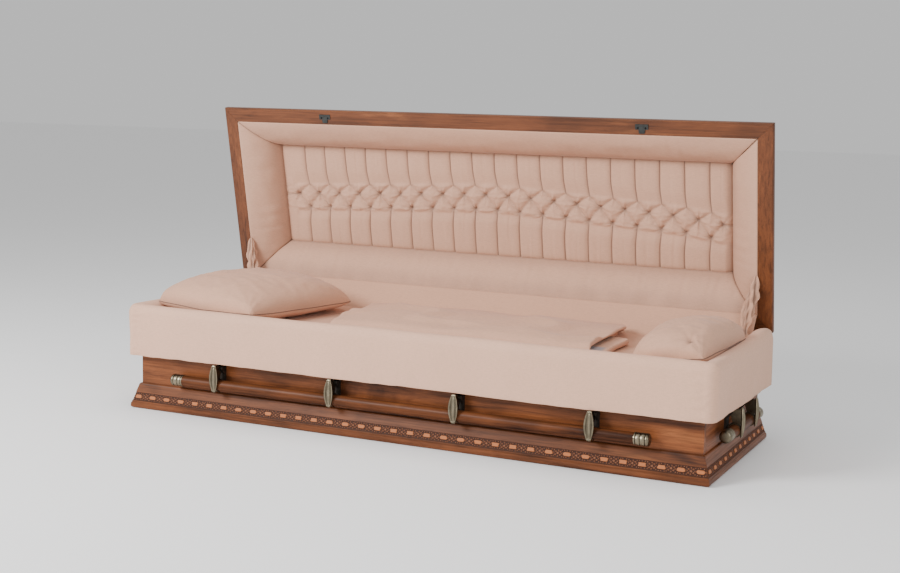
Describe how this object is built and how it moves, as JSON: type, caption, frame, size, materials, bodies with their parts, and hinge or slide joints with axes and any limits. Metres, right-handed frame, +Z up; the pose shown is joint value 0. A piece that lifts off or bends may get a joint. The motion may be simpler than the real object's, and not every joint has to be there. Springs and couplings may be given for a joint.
{
  "type": "full-couch wooden casket",
  "caption": "Wooden casket with a carved base moulding, hinged domed lid, tufted lid lining, draped overlay, bedding and swing-bar handles.",
  "frame": {"origin": "centre of the flat underside of the base", "axes": "+X along the casket towards the foot end, +Y towards the hinged back, +Z up"},
  "size_m": [2.1956, 0.9002, 1.0766],
  "materials": {
    "wood": "satin",
    "fabric": "matte",
    "antique_brass": "antiqued",
    "steel": "satin"
  },
  "bodies": {
    "casket": {"base_moulding_front": "wood", "base_moulding_left": "wood", "base_moulding_rear": "wood", "base_moulding_right": "wood", "body_panel_front": "wood", "body_panel_left": "wood", "body_panel_rear": "wood", "body_panel_right": "wood", "body_rail_front": "wood", "body_rail_left": "wood", "body_rail_rear": "wood", "body_rail_right": "wood", "bottom_board": "wood", "hinge_leaf_body": "steel", "lid_apron": "fabric", "mattress": "fabric", "overlay": "fabric", "pillow_foot": "fabric", "pillow_head": "fabric", "stay_sleeve_left": "fabric", "stay_sleeve_right": "fabric", "throw": "fabric"},
    "lid": {"hinge_leaf_lid": "steel", "latch_strike_left": "steel", "latch_strike_right": "steel", "lid_border_roll_front": "fabric", "lid_border_roll_left": "fabric", "lid_border_roll_rear": "fabric", "lid_border_roll_right": "fabric", "lid_crown_front": "wood", "lid_crown_left": "wood", "lid_crown_rear": "wood", "lid_crown_right": "wood", "lid_rail_front": "wood", "lid_rail_left": "wood", "lid_rail_rear": "wood", "lid_rail_right": "wood", "lid_top": "wood", "lid_tufted_panel": "fabric"},
    "handle_front": {"handle_arm_front_1": "antique_brass", "handle_arm_front_2": "antique_brass", "handle_arm_front_3": "antique_brass", "handle_arm_front_4": "antique_brass", "handle_bar_front": "wood"},
    "handle_rear": {"handle_arm_rear_1": "antique_brass", "handle_arm_rear_2": "antique_brass", "handle_arm_rear_3": "antique_brass", "handle_arm_rear_4": "antique_brass", "handle_bar_rear": "wood"},
    "handle_left": {"handle_arm_left_1": "antique_brass", "handle_arm_left_2": "antique_brass", "handle_bar_left": "wood"},
    "handle_right": {"handle_arm_right_1": "antique_brass", "handle_arm_right_2": "antique_brass", "handle_bar_right": "wood"}
  },
  "joints": [
    {"name": "lid_hinge", "type": "hinge", "parent": "casket", "child": "lid", "pos_m": [0, 0.3685, 0.356], "axis": [1, 0, 0], "range_deg": [0, 78.5], "deforming": ["lid_apron", "overlay", "pillow_head", "pillow_foot", "stay_sleeve_left", "stay_sleeve_right"]},
    {"name": "handle_front_swing", "type": "hinge", "parent": "casket", "child": "handle_front", "pos_m": [0, -0.35, 0.18], "axis": [-1, 0, 0], "range_deg": [0, 55], "deforming": ["overlay"]},
    {"name": "handle_rear_swing", "type": "hinge", "parent": "casket", "child": "handle_rear", "pos_m": [0, 0.35, 0.18], "axis": [1, 0, 0], "range_deg": [0, 55]},
    {"name": "handle_left_swing", "type": "hinge", "parent": "casket", "child": "handle_left", "pos_m": [-1.055, 0, 0.18], "axis": [0, 1, 0], "range_deg": [0, 55], "deforming": ["overlay"]},
    {"name": "handle_right_swing", "type": "hinge", "parent": "casket", "child": "handle_right", "pos_m": [1.055, 0, 0.18], "axis": [0, -1, 0], "range_deg": [0, 55], "deforming": ["overlay"]}
  ]
}
